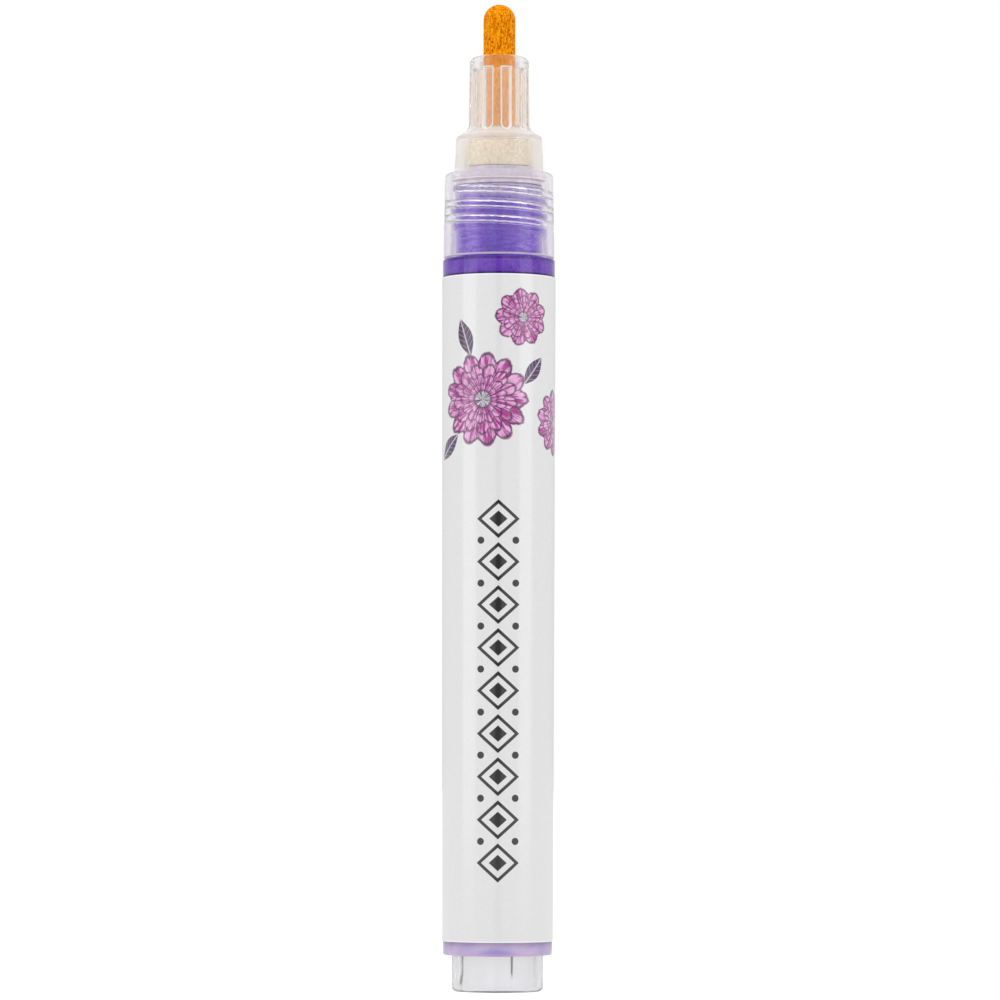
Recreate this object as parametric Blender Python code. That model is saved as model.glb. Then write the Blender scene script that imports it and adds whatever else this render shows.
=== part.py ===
"""A valve-action nail art pen without its cap, standing on its end plug with the nib up.

All lengths are in metres, +Z runs from the end plug to the nib, and the origin is the centre of the foot.
The barrel is the fixed piece. The screw collar clamps the nose unit (nose cone, valve and gasket) on the
barrel's neck by a left-hand thread. Pressing the nib pushes the valve stem down against its spring, and
two steel balls mix the ink in the barrel.
"""

import math

import bmesh
import bpy
from mathutils import Vector

for leftover in list(bpy.data.objects):
    bpy.data.objects.remove(leftover)

# Clearances between pieces, and overruns of joined or cutting shapes
SEAT_GAP = 0.0002
RUN_GAP = 0.0002
BOND = 0.00015
OVERRUN = 0.0005
WELD = 0.000001

# Barrel
BARREL_LENGTH = 0.0866
BARREL_RADIUS = 0.0070
BARREL_DRAFT = 0.0002
BARREL_WALL = 0.0009
BARREL_EDGE = 0.00025
SHOULDER_WALL = 0.0009
SHOULDER_SLOPE = 0.0005

# Neck and screw thread, which the barrel and the collar share
NECK_LENGTH = 0.0090
NECK_WALL = 0.00075
NECK_EDGE = 0.0001
THREAD_PITCH = 0.00183
THREAD_DEPTH = 0.0006
THREAD_FOOT = 0.0007
THREAD_CREST = 0.0003
THREAD_SETBACK = 0.00024
THREAD_TIP_SHARE = 0.3
THREAD_RUNOUT_TURNS = 0.125
THREAD_START = math.radians(200)
NECK_TURNS = 2.6
COLLAR_TURNS = 2.6

# Screw collar
COLLAR_SETBACK = 0.00006
COLLAR_WALL = 0.00079
COLLAR_DRAFT = 0.00019
COLLAR_EDGE = 0.0005
COLLAR_FOOT_EDGE = 0.00015
LIP_THICKNESS = 0.00045
LIP_OVERHANG = 0.00035

# Gasket and nose cone
GASKET_THICKNESS = 0.0004
FLANGE_THICKNESS = 0.00035
FLANGE_PLAY = 0.00025
CUP_HEIGHT = 0.0051
CUP_DRAFT = 0.00024
CUP_EDGE = 0.0005
CUP_ROOF = 0.00055
CUP_SHOULDER = 0.00011
FLARE_DROP = 0.0019
FLARE_SWEEP = math.radians(60)
STEM_RADIUS = 0.0038
STEM_LENGTH = 0.0084
STEM_DRAFT = 0.00008
STEM_EDGE = 0.0009
GRIP_RING_HEIGHT = 0.0017
GUIDE_WEB_HEIGHT = 0.0014
AIR_CHANNEL = 0.00035

# Flutes on the nose cone's stem
FLUTE_COUNT = 10
FLUTE_ANGLE = math.radians(-76.5)
FLUTE_WIDTH = 0.00105
FLUTE_DEPTH = 0.00055
FLUTE_RUNOUT = 0.0009

# Nib
NIB_DIAMETER = 0.0040
NIB_OVERHANG = 0.00665

# Buffer sponge
SPONGE_BORE_PLAY = 0.0003

# Valve: housing, seat plate, stem, seal, spring and its retainer
HOUSING_DEPTH = 0.0136
HOUSING_PLUG_LENGTH = 0.0016
HOUSING_WALL = 0.0007
SEAT_PLATE_DROP = 0.0027
SEAT_PLATE_THICKNESS = 0.0008
SEAT_PORT_PLAY = 0.0004
HOUSING_LIP_HEIGHT = 0.0005
HOUSING_LIP_SNAP = 0.00015
WINDOW_COUNT = 4
WINDOW_ANGLE = math.radians(45)
WINDOW_WIDTH = 0.0030
WINDOW_HEIGHT = 0.0050
WINDOW_SILL = 0.0017
STEM_ROD_SHARE = 0.5085
STEM_ROD_REACH = 0.0031
VALVE_DISC_PLAY = 0.00075
VALVE_DISC_THICKNESS = 0.0007
SEAL_THICKNESS = 0.0009
SEAL_BORE_PLAY = 0.0002
GUIDE_ROD_SHARE = 0.6
GUIDE_ROD_REACH = 0.0015
RETAINER_THICKNESS = 0.0007
RETAINER_HOLE_COUNT = 4
RETAINER_HOLE_SHARE = 0.417
RETAINER_HOLE_ANGLE = math.radians(22)
SPRING_WIRE = 0.00045
SPRING_TURNS = 5.25
SPRING_INSET = 0.00045

# End plug
STUB_LENGTH = 0.0045
PLUG_INSERT = 0.0050
PLUG_WALL = 0.0010
PLUG_ROOF = 0.0008
PLUG_EDGE = 0.0006
PLUG_LEAD_IN = 0.0003
PLUG_RIB_COUNT = 4
PLUG_RIB_ANGLE = math.radians(25)
PLUG_RIB_WIDTH = 0.0007
PLUG_RIB_DEPTH = 0.0006
PLUG_RIB_SETBACK = 0.0008

# Mixing balls
BALL_DIAMETER = 0.0045
BALL_SPACING = 0.0004

# Label
LABEL_SETBACK = 0.0017
LABEL_LENGTH = 0.0826
LABEL_THICKNESS = 0.00006
LABEL_GAP = 0.00003

# Sides of the round pieces
BODY_SIDES = 48
INNER_SIDES = 32
SMALL_SIDES = 24
HOLE_SIDES = 12
TURN_STEPS = 36
COIL_POINTS = 9
ARC_STEPS = 4
BALL_LEVEL = 3

# Radii from the barrel inwards
foot_radius = BARREL_RADIUS - BARREL_DRAFT
bore_radius = BARREL_RADIUS - BARREL_WALL
foot_bore = foot_radius - BARREL_WALL
collar_radius = BARREL_RADIUS - COLLAR_SETBACK
collar_bore = collar_radius - COLLAR_WALL
neck_crest = collar_bore - RUN_GAP
neck_radius = neck_crest - THREAD_DEPTH
neck_bore = neck_radius - NECK_WALL
housing_radius = neck_bore - RUN_GAP
housing_bore = housing_radius - HOUSING_WALL
lip_bore = collar_bore - LIP_OVERHANG
cup_radius = lip_bore - RUN_GAP
cup_bore = housing_radius + SEAT_GAP
flange_radius = collar_bore - FLANGE_PLAY
nib_radius = NIB_DIAMETER / 2
nib_bore = nib_radius + RUN_GAP
plug_radius = foot_bore - SEAT_GAP
plug_bore = plug_radius - PLUG_WALL
ball_radius = BALL_DIAMETER / 2
disc_radius = housing_bore - VALVE_DISC_PLAY
stem_rod_radius = disc_radius * STEM_ROD_SHARE
seal_bore = stem_rod_radius + SEAL_BORE_PLAY
guide_rod_radius = stem_rod_radius * GUIDE_ROD_SHARE
cup_top_radius = cup_radius - CUP_DRAFT
flare_radius = cup_top_radius - CUP_SHOULDER
flare_reach = (flare_radius - STEM_RADIUS) / (1 - math.cos(FLARE_SWEEP))

# Heights above the foot
barrel_foot = STUB_LENGTH
shoulder = barrel_foot + BARREL_LENGTH
rim = shoulder + NECK_LENGTH
gasket_foot = rim + SEAT_GAP
nose_foot = gasket_foot + GASKET_THICKNESS + SEAT_GAP
collar_foot = shoulder + SEAT_GAP
lip_foot = nose_foot + FLANGE_THICKNESS + SEAT_GAP
collar_top = lip_foot + LIP_THICKNESS
cup_ceiling = nose_foot + CUP_HEIGHT
flare_foot = cup_ceiling + CUP_ROOF
flare_top = flare_foot + FLARE_DROP * math.sin(FLARE_SWEEP)
nose_top = flare_top + STEM_LENGTH
housing_top = nose_foot + HOUSING_PLUG_LENGTH
housing_foot = rim - HOUSING_DEPTH
seat_plate_top = rim - SEAT_PLATE_DROP
seat_plate_foot = seat_plate_top - SEAT_PLATE_THICKNESS
seal_foot = seat_plate_foot - SEAT_GAP - SEAL_THICKNESS
disc_top = seal_foot - SEAT_GAP
disc_foot = disc_top - VALVE_DISC_THICKNESS
stem_top = seat_plate_top + STEM_ROD_REACH
nib_tail = stem_top + SEAT_GAP
nib_tip = nose_top + NIB_OVERHANG
retainer_foot = housing_foot + HOUSING_LIP_HEIGHT + SEAT_GAP
retainer_top = retainer_foot + RETAINER_THICKNESS
plug_roof = STUB_LENGTH + PLUG_INSERT
thread_top = rim - THREAD_SETBACK


def finish(name, colour, roughness, metallic=0.0, clearness=0.0):
    """A Principled material; colour is sRGB from 0 to 1, and clearness lets light through."""
    material = bpy.data.materials.new(name)
    material.use_nodes = True
    shader = material.node_tree.nodes["Principled BSDF"]
    linear = [(part / 12.92) if part < 0.04045 else ((part + 0.055) / 1.055) ** 2.4 for part in colour]
    shader.inputs["Base Color"].default_value = (*linear, 1)
    shader.inputs["Roughness"].default_value = roughness
    shader.inputs["Metallic"].default_value = metallic
    shader.inputs["Transmission Weight"].default_value = clearness
    return material


def world_place(thing):
    """Where an object's origin is, as the sum of its own and its parents' locations."""
    place = Vector()
    while thing:
        place += thing.location
        thing = thing.parent
    return place


def placed(name, data, place, parent=None):
    """An object in the scene with its origin at a world place, under a parent if one is given."""
    thing = bpy.data.objects.new(name, data)
    bpy.context.scene.collection.objects.link(thing)
    thing.parent = parent
    thing.location = Vector(place) - world_place(parent)
    return thing


def shaded(name, shape, place, material, parent=None):
    """The finished mesh of a bmesh shape as a placed object, smooth but for its sharp edges."""
    bmesh.ops.recalc_face_normals(shape, faces=shape.faces)
    mesh = bpy.data.meshes.new(name)
    shape.to_mesh(mesh)
    shape.free()
    mesh.shade_smooth()
    mesh.set_sharp_from_angle(angle=math.radians(35))
    if material:
        mesh.materials.append(material)
    return placed(name, mesh, place, parent)


def arc(centre_radius, centre_height, radius, start, end):
    """Points of a round corner in the (radius, height) plane, from one angle in degrees to another."""
    angles = [math.radians(start + (end - start) * step / ARC_STEPS) for step in range(ARC_STEPS + 1)]
    return [(centre_radius + radius * math.cos(a), centre_height + radius * math.sin(a)) for a in angles]


def turned(name, outline, sides, place, material=None, parent=None):
    """A body of revolution about Z from the (radius, height) points that go once round its section."""
    shape = bmesh.new()
    points = [shape.verts.new((radius, 0, height)) for radius, height in outline]
    pairs = zip(points, points[1:] + points[:1])
    edges = [shape.edges.new(pair) for pair in pairs if pair[0].co.x > 0 or pair[1].co.x > 0]
    whole = points + edges
    bmesh.ops.spin(
        shape, geom=whole, cent=(0, 0, 0), axis=(0, 0, 1), angle=math.tau, steps=sides, use_merge=True
    )
    bmesh.ops.remove_doubles(shape, verts=shape.verts, dist=WELD)
    return shaded(name, shape, place, material, parent)


def turned_from_levels(name, outline, sides, foot, material=None, parent=None):
    """A turned body with its outline in heights above the pen's foot, and its origin at height foot."""
    lowered = [(radius, height - foot) for radius, height in outline]
    return turned(name, lowered, sides, (0, 0, foot), material, parent)


def helper(thing):
    """Marks an object as a cutter or a joined shape, which isn't a piece of the pen."""
    thing.hide_render = True
    thing.display_type = "WIRE"
    return thing


def combined(thing, other, operation):
    """Joins another shape to an object, or cuts it out, by a Boolean modifier."""
    modifier = thing.modifiers.new(other.name, "BOOLEAN")
    modifier.operation = operation
    modifier.object = helper(other)


def radial_blocks(name, outline, inner, outer, angles, parent=None):
    """Prisms round the axis: a (sideways, height) outline carried outwards between two radii."""
    shape = bmesh.new()
    for angle in angles:
        out = Vector((math.cos(angle), math.sin(angle), 0))
        side = Vector((-math.sin(angle), math.cos(angle), 0))
        near = [shape.verts.new(out * inner + side * x + Vector((0, 0, z))) for x, z in outline]
        far = [shape.verts.new(out * outer + side * x + Vector((0, 0, z))) for x, z in outline]
        shape.faces.new(near)
        shape.faces.new(far)
        for left in range(len(outline)):
            right = (left + 1) % len(outline)
            shape.faces.new((near[left], near[right], far[right], far[left]))
    return shaded(name, shape, (0, 0, 0), None, parent)


def slot_outline(width, low, high):
    """A slot with a round lower end and a square upper end, as (sideways, height) points."""
    half = width / 2
    return [(half, high), (-half, high)] + arc(0, low + half, half, 180, 360)


def around(count, start):
    """Equal angles round the axis."""
    return [start + math.tau * index / count for index in range(count)]


def thread_ridge(name, root, crest, top, turns, parent=None):
    """A trapezoid ridge on a left-hand helix down from THREAD_START, with a small tip at both ends."""
    shape = bmesh.new()
    steps = round(TURN_STEPS * turns)
    rings = []
    for step in range(steps + 1):
        turn = turns * step / steps
        angle = THREAD_START + math.tau * turn
        from_end = min(turn, turns - turn) / THREAD_RUNOUT_TURNS
        grown = min(1, THREAD_TIP_SHARE + (1 - THREAD_TIP_SHARE) * from_end)
        reach = root + (crest - root) * grown
        middle = top - THREAD_PITCH * turn
        section = [
            (root, -THREAD_FOOT / 2 * grown),
            (reach, -THREAD_CREST / 2 * grown),
            (reach, THREAD_CREST / 2 * grown),
            (root, THREAD_FOOT / 2 * grown),
        ]
        out = (math.cos(angle), math.sin(angle))
        rings.append([shape.verts.new((r * out[0], r * out[1], middle + z)) for r, z in section])
    for ring, following in zip(rings, rings[1:]):
        for left in range(len(ring)):
            right = (left + 1) % len(ring)
            shape.faces.new((ring[left], ring[right], following[right], following[left]))
    shape.faces.new(rings[0])
    shape.faces.new(rings[-1])
    return shaded(name, shape, (0, 0, 0), None, parent)


def make_barrel():
    """The clear tube of ink with its shoulder and threaded neck; the end plug closes its open foot."""
    outline = [(foot_bore, barrel_foot)]
    outline += arc(foot_radius - BARREL_EDGE, barrel_foot + BARREL_EDGE, BARREL_EDGE, -90, 0)
    outline += arc(BARREL_RADIUS - BARREL_EDGE, shoulder - BARREL_EDGE, BARREL_EDGE, 0, 90)
    outline += [
        (neck_radius, shoulder),
        (neck_radius, rim - NECK_EDGE),
        (neck_radius - NECK_EDGE, rim),
        (neck_bore, rim),
        (neck_bore, shoulder - SHOULDER_WALL),
        (bore_radius, shoulder - SHOULDER_WALL - SHOULDER_SLOPE),
    ]
    clear = finish("barrel_plastic", (0.45, 0.34, 0.72), 0.08, clearness=0.3)
    barrel = turned_from_levels("barrel", outline, BODY_SIDES, barrel_foot, clear)
    top = thread_top - THREAD_PITCH / 2
    ridge = thread_ridge("neck_thread", neck_radius - BOND, neck_crest, top, NECK_TURNS)
    combined(barrel, ridge, "UNION")
    return barrel


def make_label(barrel):
    """The white wrap round the barrel's straight part, following its draft."""

    def radius_at(height):
        return foot_radius + BARREL_DRAFT * (height - barrel_foot) / BARREL_LENGTH + LABEL_GAP

    low = barrel_foot + LABEL_SETBACK
    high = low + LABEL_LENGTH
    outline = [
        (radius_at(low), low),
        (radius_at(low) + LABEL_THICKNESS, low),
        (radius_at(high) + LABEL_THICKNESS, high),
        (radius_at(high), high),
    ]
    film = finish("label_film", (0.89, 0.89, 0.89), 0.35)
    turned_from_levels("label", outline, BODY_SIDES, low, film, barrel)


def make_end_plug(barrel):
    """The clear hollow plug: an inverted cup with its stub below the barrel and the ink on its roof."""
    outline = [(plug_bore, 0)]
    outline += arc(plug_radius - PLUG_EDGE, PLUG_EDGE, PLUG_EDGE, -90, 0)
    outline += [
        (plug_radius, plug_roof - PLUG_LEAD_IN),
        (plug_radius - PLUG_LEAD_IN, plug_roof),
        (0, plug_roof),
        (0, plug_roof - PLUG_ROOF),
        (plug_bore, plug_roof - PLUG_ROOF),
    ]
    clear = finish("plug_plastic", (0.90, 0.90, 0.91), 0.1, clearness=0.6)
    plug = turned_from_levels("end_plug", outline, BODY_SIDES, 0, clear, barrel)
    half = PLUG_RIB_WIDTH / 2
    high = plug_roof - PLUG_ROOF + BOND
    section = [(-half, PLUG_RIB_SETBACK), (half, PLUG_RIB_SETBACK), (half, high), (-half, high)]
    angles = around(PLUG_RIB_COUNT, PLUG_RIB_ANGLE)
    inner = plug_bore - PLUG_RIB_DEPTH
    ribs = radial_blocks("plug_ribs", section, inner, plug_bore + BOND, angles, barrel)
    combined(plug, ribs, "UNION")


def make_mixing_balls(barrel):
    """Two loose steel balls side by side on the end plug's roof."""
    steel = finish("ball_steel", (0.75, 0.75, 0.77), 0.2, metallic=1.0)
    aside = ball_radius + BALL_SPACING / 2
    for number, x in ((1, -aside), (2, aside)):
        shape = bmesh.new()
        bmesh.ops.create_icosphere(shape, subdivisions=BALL_LEVEL, radius=ball_radius)
        shaded(f"mixing_ball_{number}", shape, (x, 0, plug_roof + SEAT_GAP + ball_radius), steel, barrel)


def make_screw_collar(nose_unit):
    """The clear sleeve that screws on the neck; its inner lip holds the nose cone's flange down."""
    top_radius = collar_radius - COLLAR_DRAFT
    outline = [(collar_bore, collar_foot)]
    edge = COLLAR_FOOT_EDGE
    outline += arc(collar_radius - edge, collar_foot + edge, edge, -90, 0)
    outline += arc(top_radius - COLLAR_EDGE, collar_top - COLLAR_EDGE, COLLAR_EDGE, 0, 90)
    outline += [(lip_bore, collar_top), (lip_bore, lip_foot), (collar_bore, lip_foot)]
    clear = finish("collar_plastic", (0.86, 0.84, 0.90), 0.15, clearness=0.6)
    collar = turned_from_levels("screw_collar", outline, BODY_SIDES, collar_foot, clear, nose_unit)
    crest = collar_bore - THREAD_DEPTH
    ridge = thread_ridge("collar_thread", collar_bore + BOND, crest, thread_top, COLLAR_TURNS, nose_unit)
    combined(collar, ridge, "UNION")


def make_gasket(nose_unit):
    """The flat rubber ring between the neck's rim and the nose cone."""
    outline = [
        (neck_bore, gasket_foot),
        (neck_radius, gasket_foot),
        (neck_radius, gasket_foot + GASKET_THICKNESS),
        (neck_bore, gasket_foot + GASKET_THICKNESS),
    ]
    rubber = finish("gasket_rubber", (0.80, 0.78, 0.84), 0.6)
    turned_from_levels("neck_gasket", outline, INNER_SIDES, gasket_foot, rubber, nose_unit)


def flare_outline():
    """The nose cone's concave flare, an arc of an ellipse from the cup's edge up to the stem."""
    points = []
    for step in range(ARC_STEPS + 1):
        angle = FLARE_SWEEP * (1 - step / ARC_STEPS)
        radius = STEM_RADIUS + flare_reach * (1 - math.cos(angle))
        points.append((radius, flare_top - FLARE_DROP * math.sin(angle)))
    return points


def make_nose_cone(nose_unit):
    """The milky nib holder: clamped flange, sponge cup, flare, and fluted stem with a grip ring."""
    stem_top_radius = STEM_RADIUS - STEM_DRAFT
    channel = nib_bore + AIR_CHANNEL
    grip_foot = nose_top - GRIP_RING_HEIGHT
    web_top = cup_ceiling + GUIDE_WEB_HEIGHT
    outline = [
        (cup_bore, nose_foot),
        (flange_radius, nose_foot),
        (flange_radius, nose_foot + FLANGE_THICKNESS),
        (cup_radius, nose_foot + FLANGE_THICKNESS),
        (cup_top_radius, flare_foot - CUP_EDGE),
    ]
    outline += flare_outline()
    outline += arc(stem_top_radius - STEM_EDGE, nose_top - STEM_EDGE, STEM_EDGE, 0, 90)
    outline += [
        (nib_bore, nose_top),
        (nib_bore, grip_foot),
        (channel, grip_foot),
        (channel, web_top),
        (nib_bore, web_top),
        (nib_bore, cup_ceiling),
        (cup_bore, cup_ceiling),
    ]
    milky = finish("nose_plastic", (0.91, 0.88, 0.84), 0.3, clearness=0.3)
    nose = turned_from_levels("nose_cone", outline, BODY_SIDES, nose_foot, milky, nose_unit)
    slot = slot_outline(FLUTE_WIDTH, flare_top - FLUTE_RUNOUT, grip_foot)
    floor = STEM_RADIUS - FLUTE_DEPTH
    outside = STEM_RADIUS + flare_reach
    angles = around(FLUTE_COUNT, FLUTE_ANGLE)
    combined(nose, radial_blocks("nose_flutes", slot, floor, outside, angles, nose_unit), "DIFFERENCE")


def make_buffer_sponge(nose_unit):
    """The fibre ring in the nose cone's cup, round the nib, which steadies the flow of ink."""
    low = housing_top + SEAT_GAP
    high = cup_ceiling - SEAT_GAP
    inner = nib_radius + SPONGE_BORE_PLAY
    outer = cup_bore - SEAT_GAP
    outline = [(inner, low), (outer, low), (outer, high), (inner, high)]
    fibre = finish("sponge_fibre", (0.91, 0.86, 0.78), 0.9)
    turned_from_levels("buffer_sponge", outline, INNER_SIDES, low, fibre, nose_unit)


def make_valve_housing(nose_unit):
    """The valve's cage: a tube plugged into the nose cone, with seat plate, windows and snap lip."""
    port = stem_rod_radius + SEAT_PORT_PLAY
    lip = housing_bore - RUN_GAP - HOUSING_LIP_SNAP
    outline = [
        (lip, housing_foot),
        (housing_radius, housing_foot),
        (housing_radius, housing_top),
        (housing_bore, housing_top),
        (housing_bore, seat_plate_top),
        (port, seat_plate_top),
        (port, seat_plate_foot),
        (housing_bore, seat_plate_foot),
        (housing_bore, housing_foot + HOUSING_LIP_HEIGHT),
        (lip, housing_foot + HOUSING_LIP_HEIGHT),
    ]
    plastic = finish("valve_plastic", (0.88, 0.88, 0.90), 0.4)
    housing = turned_from_levels("valve_housing", outline, INNER_SIDES, housing_foot, plastic, nose_unit)
    low = housing_foot + WINDOW_SILL
    slot = slot_outline(WINDOW_WIDTH, low, low + WINDOW_HEIGHT)
    angles = around(WINDOW_COUNT, WINDOW_ANGLE)
    reach = housing_radius + OVERRUN
    cutters = radial_blocks("housing_windows", slot, housing_bore / 2, reach, angles, nose_unit)
    combined(housing, cutters, "DIFFERENCE")


def make_valve_stem(nose_unit):
    """The plunger: a rod that the nib pushes, the disc that carries the seal, and a guide rod below."""
    outline = [
        (0, retainer_foot - GUIDE_ROD_REACH),
        (guide_rod_radius, retainer_foot - GUIDE_ROD_REACH),
        (guide_rod_radius, disc_foot),
        (disc_radius, disc_foot),
        (disc_radius, disc_top),
        (stem_rod_radius, disc_top),
        (stem_rod_radius, stem_top),
        (0, stem_top),
    ]
    plastic = finish("stem_plastic", (0.93, 0.93, 0.93), 0.35)
    return turned_from_levels("valve_stem", outline, SMALL_SIDES, disc_foot, plastic, nose_unit)


def make_valve_seal(valve_stem):
    """The rubber washer on the stem's disc that closes the port in the seat plate."""
    high = seal_foot + SEAL_THICKNESS
    outline = [
        (seal_bore, seal_foot),
        (disc_radius, seal_foot),
        (disc_radius, high),
        (seal_bore, high),
    ]
    rubber = finish("seal_rubber", (0.15, 0.15, 0.16), 0.6)
    turned_from_levels("valve_seal", outline, SMALL_SIDES, seal_foot, rubber, valve_stem)


def make_spring_retainer(nose_unit):
    """The perforated disc above the housing's snap lip: the spring stands on it, round the guide rod."""
    outer = housing_bore - RUN_GAP
    inner = guide_rod_radius + RUN_GAP
    outline = [
        (inner, retainer_foot),
        (outer, retainer_foot),
        (outer, retainer_top),
        (inner, retainer_top),
    ]
    plastic = finish("retainer_plastic", (0.90, 0.90, 0.91), 0.4)
    foot = retainer_foot
    retainer = turned_from_levels("spring_retainer", outline, SMALL_SIDES, foot, plastic, nose_unit)
    low = -OVERRUN
    high = RETAINER_THICKNESS + OVERRUN
    radius = (outer - inner) / 2 * RETAINER_HOLE_SHARE
    hole = [(0, low), (radius, low), (radius, high), (0, high)]
    middle = (inner + outer) / 2
    for number, angle in enumerate(around(RETAINER_HOLE_COUNT, RETAINER_HOLE_ANGLE)):
        place = (middle * math.cos(angle), middle * math.sin(angle), retainer_foot)
        cutter = turned(f"retainer_hole_{number}", hole, HOLE_SIDES, place, None, nose_unit)
        combined(retainer, cutter, "DIFFERENCE")


def make_valve_spring(nose_unit):
    """The steel coil between the retainer and the stem's disc, one unbroken round wire."""
    wire_radius = SPRING_WIRE / 2
    coil_radius = disc_radius - SPRING_INSET - wire_radius
    low = retainer_top + SEAT_GAP + wire_radius
    rise = disc_foot - SEAT_GAP - wire_radius - low
    count = round(SPRING_TURNS * COIL_POINTS)
    points = []
    for step in range(count + 1):
        angle = math.tau * SPRING_TURNS * step / count
        height = low - retainer_top + rise * step / count
        points.append(Vector((coil_radius * math.cos(angle), coil_radius * math.sin(angle), height)))
    curve = bpy.data.curves.new("valve_spring", "CURVE")
    curve.dimensions = "3D"
    curve.bevel_depth = wire_radius
    curve.bevel_resolution = 1
    curve.use_fill_caps = True
    wire = curve.splines.new("POLY")
    wire.points.add(count)
    for point, place in zip(wire.points, points):
        point.co = (*place, 1)
    curve.materials.append(finish("spring_steel", (0.70, 0.70, 0.72), 0.3, metallic=1.0))
    placed("valve_spring", curve, (0, 0, retainer_top), nose_unit)
    apart = COIL_POINTS // 2
    gaps = [
        (first - second).length - SPRING_WIRE
        for index, first in enumerate(points)
        for second in points[index + apart :]
    ]
    print(f"least gap between the spring's curls: {min(gaps):.6f} m")


def make_nib(valve_stem):
    """The round fibre nib, with the same dome at both ends so that it can be turned round."""
    outline = [(0, nib_tail)]
    outline += arc(0, nib_tail + nib_radius, nib_radius, -90, 0)[1:]
    outline += arc(0, nib_tip - nib_radius, nib_radius, 0, 90)[:-1]
    outline += [(0, nib_tip)]
    felt = finish("nib_fibre", (0.94, 0.60, 0.05), 0.85)
    turned_from_levels("nib", outline, INNER_SIDES, nib_tail, felt, valve_stem)


barrel = make_barrel()
make_label(barrel)
make_end_plug(barrel)
make_mixing_balls(barrel)
nose_unit = placed("nose_unit", None, (0, 0, nose_foot), barrel)
make_screw_collar(nose_unit)
make_gasket(nose_unit)
make_nose_cone(nose_unit)
make_buffer_sponge(nose_unit)
make_valve_housing(nose_unit)
make_spring_retainer(nose_unit)
make_valve_spring(nose_unit)
valve_stem = make_valve_stem(nose_unit)
make_valve_seal(valve_stem)
make_nib(valve_stem)
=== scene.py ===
"""The looks of an uncapped nail art pen, standing on its end plug with the nib up.

Sizes are millimetres in the pen's own frame: +Z runs up the axis from the foot, and -Y is the label's front.
"""

import math

import bmesh
import bpy
import numpy as np
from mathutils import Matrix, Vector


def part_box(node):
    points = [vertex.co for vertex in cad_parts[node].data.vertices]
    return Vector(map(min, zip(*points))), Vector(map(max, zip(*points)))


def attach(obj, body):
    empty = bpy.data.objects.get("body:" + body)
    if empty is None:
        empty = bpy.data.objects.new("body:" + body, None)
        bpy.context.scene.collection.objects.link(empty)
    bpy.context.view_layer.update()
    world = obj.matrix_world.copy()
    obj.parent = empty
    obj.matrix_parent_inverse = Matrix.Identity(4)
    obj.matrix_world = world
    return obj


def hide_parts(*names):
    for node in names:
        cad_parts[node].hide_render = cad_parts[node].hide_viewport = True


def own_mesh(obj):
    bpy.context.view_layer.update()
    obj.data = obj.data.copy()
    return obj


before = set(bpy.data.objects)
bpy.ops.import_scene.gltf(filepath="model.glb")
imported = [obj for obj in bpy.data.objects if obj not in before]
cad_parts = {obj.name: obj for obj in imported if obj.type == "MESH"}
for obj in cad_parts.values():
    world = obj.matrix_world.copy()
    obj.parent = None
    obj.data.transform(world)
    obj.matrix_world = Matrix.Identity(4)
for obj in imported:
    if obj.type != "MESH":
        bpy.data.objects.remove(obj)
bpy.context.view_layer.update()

# The camera and the studio
# A long lens a little above the pen's foot looks up along it, so rims high on the pen bow upwards and low
# ones bow down. A white room lights it evenly, with two soft boxes and the dark gap between them.
MM = 0.001
CAMERA_DISTANCE = 637
CAMERA_HEIGHT = 28.6
FRAME_MIDDLE = 61.06
FRAME_SPAN = 124.63
FRAME_SHIFT = 0.19
CAMERA_ROLL = math.radians(0.12)
ROOM_LIGHT = 1.24
GLOSS_LEVEL = 0.7
GAP_LEVEL = 0.1
GAP_ANGLE = math.radians(8)
THROUGH_LEVEL = 0.93
SIDE_LEVEL = 0.64
SIDE_ANGLES = tuple(math.radians(angle) for angle in (30, 60, 120, 150))
INSIDE_LIGHT = 0.8
OVERHEAD_LIGHT = 0.35
OVERHEAD_SLOPES = (0.2, 0.6)
SOFT_BOXES = ((-62, 700), (58, 760))
SOFT_BOX_SIZE = (420, 900)
SOFT_BOX_HEIGHT = 320
SOFT_BOX_TILT = math.radians(72)
SOFT_BOX_WATTS = 1.0
FLOOR_REACH = 4000
FLOOR_SHADE = 0.34
FLOOR_LEVEL = 1.12


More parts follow.
